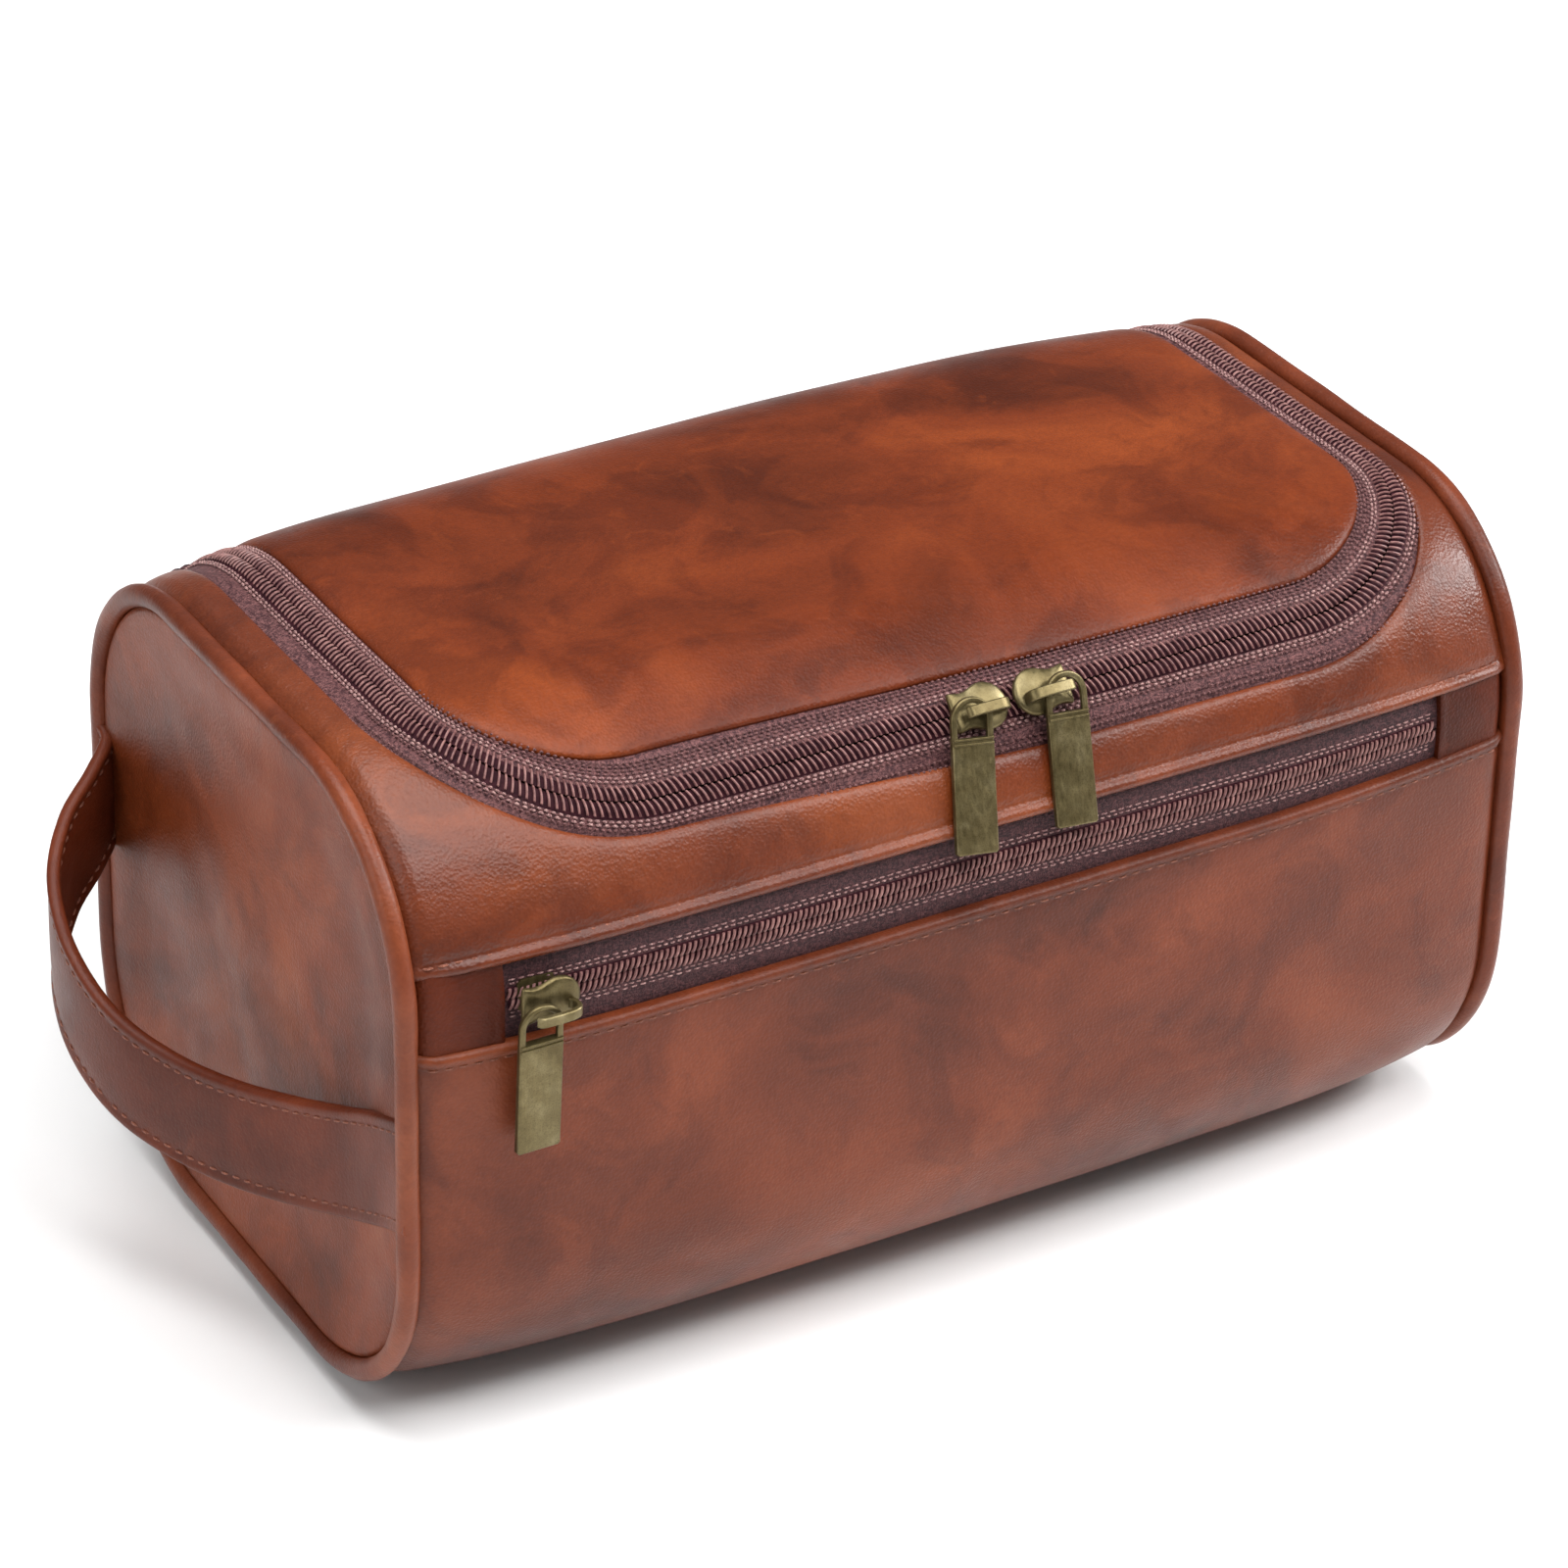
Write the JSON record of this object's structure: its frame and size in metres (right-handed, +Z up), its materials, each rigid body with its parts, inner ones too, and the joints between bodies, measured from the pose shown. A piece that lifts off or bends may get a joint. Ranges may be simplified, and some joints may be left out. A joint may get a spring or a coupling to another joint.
{
  "type": "shaving kit bag",
  "caption": "Leather shaving kit bag: padded box with rounded long edges, zipped lid, zipped front pocket and a strap handle across one end.",
  "frame": {"origin": "centre of the bag's flat underside, midway between its end panels", "axes": "+X along the bag to the right, away from the strap handle; -Y is the front with the pocket; +Z up"},
  "size_m": [0.2945, 0.1619, 0.15],
  "materials": {
    "leather": "semi-gloss, mottled",
    "leather_dark": "satin, pebbled",
    "piping": "semi-gloss",
    "strap": "semi-gloss",
    "foam": "matte",
    "lining": "matte weave",
    "board": "matte",
    "zip_tape": "woven",
    "zip_coil": "satin",
    "brass": "antique, brushed"
  },
  "bodies": {
    "bag": {"wrap_panel": "leather", "top_yoke": "leather", "pocket_tab_left": "leather_dark", "pocket_tab_right": "leather_dark", "end_panel_left": "leather", "end_panel_right": "leather", "piping_left": "piping", "piping_right": "piping", "body_padding": "foam", "end_padding_left": "foam", "end_padding_right": "foam", "body_lining": "lining", "base_board": "board", "zip_tape_body": "zip_tape", "zip_coil_body": "zip_coil", "zip_end_tab_left": "zip_tape", "zip_end_tab_right": "zip_tape", "pocket_pouch": "lining", "pocket_tape_upper": "zip_tape", "pocket_tape_lower": "zip_tape", "pocket_coil_upper": "zip_coil", "pocket_coil_lower": "zip_coil", "strap_end_front": "strap", "strap_end_back": "strap"},
    "lid": {"lid_panel": "leather", "lid_padding": "foam", "lid_lining": "lining", "zip_tape_lid": "zip_tape", "zip_coil_lid": "zip_coil"},
    "slider_left": {"slider_left": "brass"},
    "slider_right": {"slider_right": "brass"},
    "pull_left": {"pull_left": "brass"},
    "pull_right": {"pull_right": "brass"},
    "pocket_slider": {"pocket_slider": "brass"},
    "pocket_pull": {"pocket_pull": "brass"},
    "handle": {"handle_outer": "strap", "handle_inner": "strap"}
  },
  "joints": [
    {"name": "lid_hinge", "type": "hinge", "parent": "bag", "child": "lid", "pos_m": [0, 0.0645, 0.1365], "axis": [-1, 0, 0], "range_deg": [0, 110]},
    {"name": "slider_left_slide", "type": "slide", "parent": "lid", "child": "slider_left", "axis": [-1, 0, 0], "range_m": [0, 0.072]},
    {"name": "slider_right_slide", "type": "slide", "parent": "lid", "child": "slider_right", "axis": [1, 0, 0], "range_m": [0, 0.062]},
    {"name": "pull_left_swing", "type": "hinge", "parent": "slider_left", "child": "pull_left", "pos_m": [-0.0033, -0.0704, 0.1385], "axis": [-1, 0, 0], "range_deg": [0, 150]},
    {"name": "pull_right_swing", "type": "hinge", "parent": "slider_right", "child": "pull_right", "pos_m": [0.0186, -0.0704, 0.1385], "axis": [-1, 0, 0], "range_deg": [0, 150]},
    {"name": "pocket_slide", "type": "slide", "parent": "bag", "child": "pocket_slider", "axis": [1, 0, 0], "range_m": [0, 0.2]},
    {"name": "pocket_pull_swing", "type": "hinge", "parent": "pocket_slider", "child": "pocket_pull", "pos_m": [-0.1061, -0.0832, 0.1048], "axis": [-1, 0, 0], "range_deg": [0, 150]},
    {"name": "handle_swing", "type": "hinge", "parent": "bag", "child": "handle", "pos_m": [-0.1359, -0.0413, 0.0583], "axis": [-0.064, 0.9751, 0.2125], "range_deg": [-18, 18]}
  ]
}
